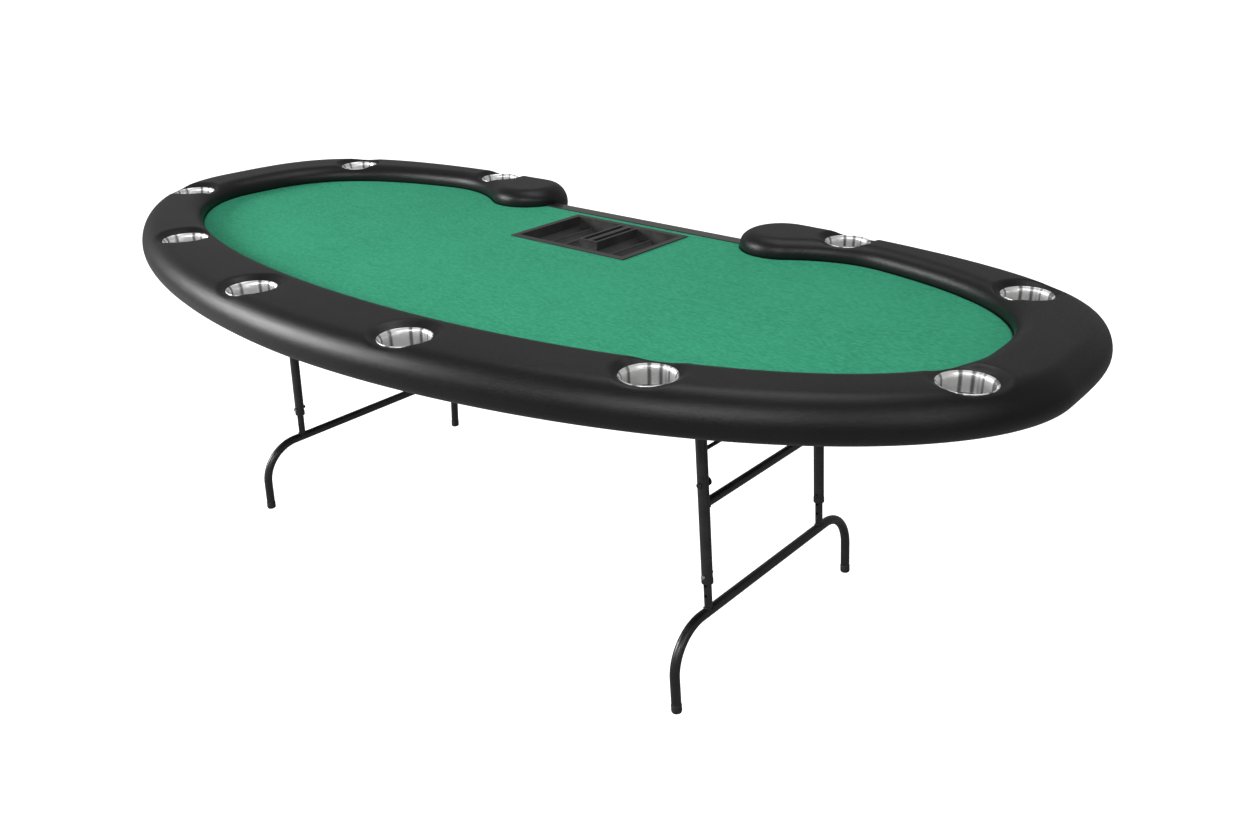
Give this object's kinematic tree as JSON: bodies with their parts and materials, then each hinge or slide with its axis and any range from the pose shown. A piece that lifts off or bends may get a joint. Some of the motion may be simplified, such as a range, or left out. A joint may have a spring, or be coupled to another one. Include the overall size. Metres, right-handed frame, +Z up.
{
  "type": "folding oval casino poker table",
  "caption": "Oval poker table with a padded vinyl rail, steel cup holders, green cloth, a drop-in dealer chip tray and folding tube legs.",
  "frame": {"origin": "on the floor, under the middle of the outline of the table (bounding box bottom centre)", "axes": "+Z up, +X along the table towards the right-hand end, +Y towards the dealer's open side"},
  "size_m": [2.3998, 1.141, 0.735],
  "materials": {
    "plywood": "black-stained plywood, satin",
    "speed_cloth": "green woven speed cloth over foam",
    "rail_vinyl": "black grained vinyl, satin",
    "edge_trim": "black extruded edging, satin",
    "moulded_tray": "black moulded plastic, fine texture",
    "brushed_steel": "brushed stainless steel",
    "powder_coat": "black powder coat",
    "zinc_steel": "zinc plated",
    "foot_rubber": "black moulded rubber"
  },
  "bodies": {
    "table": {"deck_panel": "plywood", "playing_surface": "speed_cloth", "rail_core": "plywood", "rail_padding": "rail_vinyl", "dealer_edge_trim": "edge_trim", "cup_holder_right_1": "brushed_steel", "cup_holder_right_2": "brushed_steel", "cup_holder_right_3": "brushed_steel", "cup_holder_right_4": "brushed_steel", "cup_holder_right_5": "brushed_steel", "cup_holder_left_1": "brushed_steel", "cup_holder_left_2": "brushed_steel", "cup_holder_left_3": "brushed_steel", "cup_holder_left_4": "brushed_steel", "cup_holder_left_5": "brushed_steel", "hinge_bracket_right_front": "powder_coat", "hinge_bracket_right_back": "powder_coat", "hinge_bracket_left_front": "powder_coat", "hinge_bracket_left_back": "powder_coat", "hinge_rod_right": "zinc_steel", "hinge_rod_left": "zinc_steel", "brace_bracket_right": "powder_coat", "brace_bracket_left": "powder_coat"},
    "tray": {"chip_tray": "moulded_tray"},
    "leg_right": {"leg_frame_right": "powder_coat", "brace_pivot_right_front": "powder_coat", "brace_pivot_right_back": "powder_coat"},
    "foot_right": {"foot_frame_right": "powder_coat", "foot_cap_right_front": "foot_rubber", "foot_cap_right_back": "foot_rubber"},
    "lower_link_right": {"brace_lower_right": "powder_coat"},
    "upper_link_right": {"brace_upper_right": "powder_coat"},
    "pin_right_front": {"height_pin_right_front": "zinc_steel"},
    "pin_right_back": {"height_pin_right_back": "zinc_steel"},
    "leg_left": {"leg_frame_left": "powder_coat", "brace_pivot_left_front": "powder_coat", "brace_pivot_left_back": "powder_coat"},
    "foot_left": {"foot_frame_left": "powder_coat", "foot_cap_left_front": "foot_rubber", "foot_cap_left_back": "foot_rubber"},
    "lower_link_left": {"brace_lower_left": "powder_coat"},
    "upper_link_left": {"brace_upper_left": "powder_coat"},
    "pin_left_front": {"height_pin_left_front": "zinc_steel"},
    "pin_left_back": {"height_pin_left_back": "zinc_steel"}
  },
  "joints": [
    {"name": "tray_lift", "type": "slide", "parent": "table", "child": "tray", "axis": [0, 0, 1], "range_m": [0, 0.06]},
    {"name": "leg_fold_right", "type": "hinge", "parent": "table", "child": "leg_right", "pos_m": [0.614, 0.0535, 0.655], "axis": [0, 1, 0], "range_deg": [0, 89]},
    {"name": "foot_slide_right", "type": "slide", "parent": "leg_right", "child": "foot_right", "axis": [-0.0624, 0, 0.998], "range_m": [0, 0.044]},
    {"name": "lower_link_turn_right", "type": "hinge", "parent": "leg_right", "child": "lower_link_right", "pos_m": [0.62792, 0.0535, 0.43244], "axis": [0, 1, 0], "range_deg": [0, 32.75]},
    {"name": "upper_link_turn_right", "type": "hinge", "parent": "table", "child": "upper_link_right", "pos_m": [0.478, 0.0535, 0.655], "axis": [0, 1, 0], "range_deg": [-50.61, 0]},
    {"name": "height_pin_pull_right_front", "type": "slide", "parent": "leg_right", "child": "pin_right_front", "axis": [0, -1, 0], "range_m": [0, 0.004], "stiffness_N_per_m": 600, "springref_m": -0.004},
    {"name": "height_pin_pull_right_back", "type": "slide", "parent": "leg_right", "child": "pin_right_back", "axis": [0, 1, 0], "range_m": [0, 0.004], "stiffness_N_per_m": 600, "springref_m": -0.004},
    {"name": "leg_fold_left", "type": "hinge", "parent": "table", "child": "leg_left", "pos_m": [-0.614, 0.0535, 0.655], "axis": [0, -1, 0], "range_deg": [0, 92]},
    {"name": "foot_slide_left", "type": "slide", "parent": "leg_left", "child": "foot_left", "axis": [0.0624, 0, 0.998], "range_m": [0, 0.044]},
    {"name": "lower_link_turn_left", "type": "hinge", "parent": "leg_left", "child": "lower_link_left", "pos_m": [-0.62792, 0.0535, 0.43244], "axis": [0, -1, 0], "range_deg": [0, 35.03]},
    {"name": "upper_link_turn_left", "type": "hinge", "parent": "table", "child": "upper_link_left", "pos_m": [-0.478, 0.0535, 0.655], "axis": [0, -1, 0], "range_deg": [-47.66, 0]},
    {"name": "height_pin_pull_left_front", "type": "slide", "parent": "leg_left", "child": "pin_left_front", "axis": [0, -1, 0], "range_m": [0, 0.004], "stiffness_N_per_m": 600, "springref_m": -0.004},
    {"name": "height_pin_pull_left_back", "type": "slide", "parent": "leg_left", "child": "pin_left_back", "axis": [0, 1, 0], "range_m": [0, 0.004], "stiffness_N_per_m": 600, "springref_m": -0.004}
  ],
  "couplings": [
    {"joint": "lower_link_turn_right", "follows": "leg_fold_right", "ratio": 0.36235},
    {"joint": "upper_link_turn_right", "follows": "leg_fold_right", "ratio": -0.56304},
    {"joint": "lower_link_turn_left", "follows": "leg_fold_left", "ratio": 0.37531},
    {"joint": "upper_link_turn_left", "follows": "leg_fold_left", "ratio": -0.51257}
  ]
}
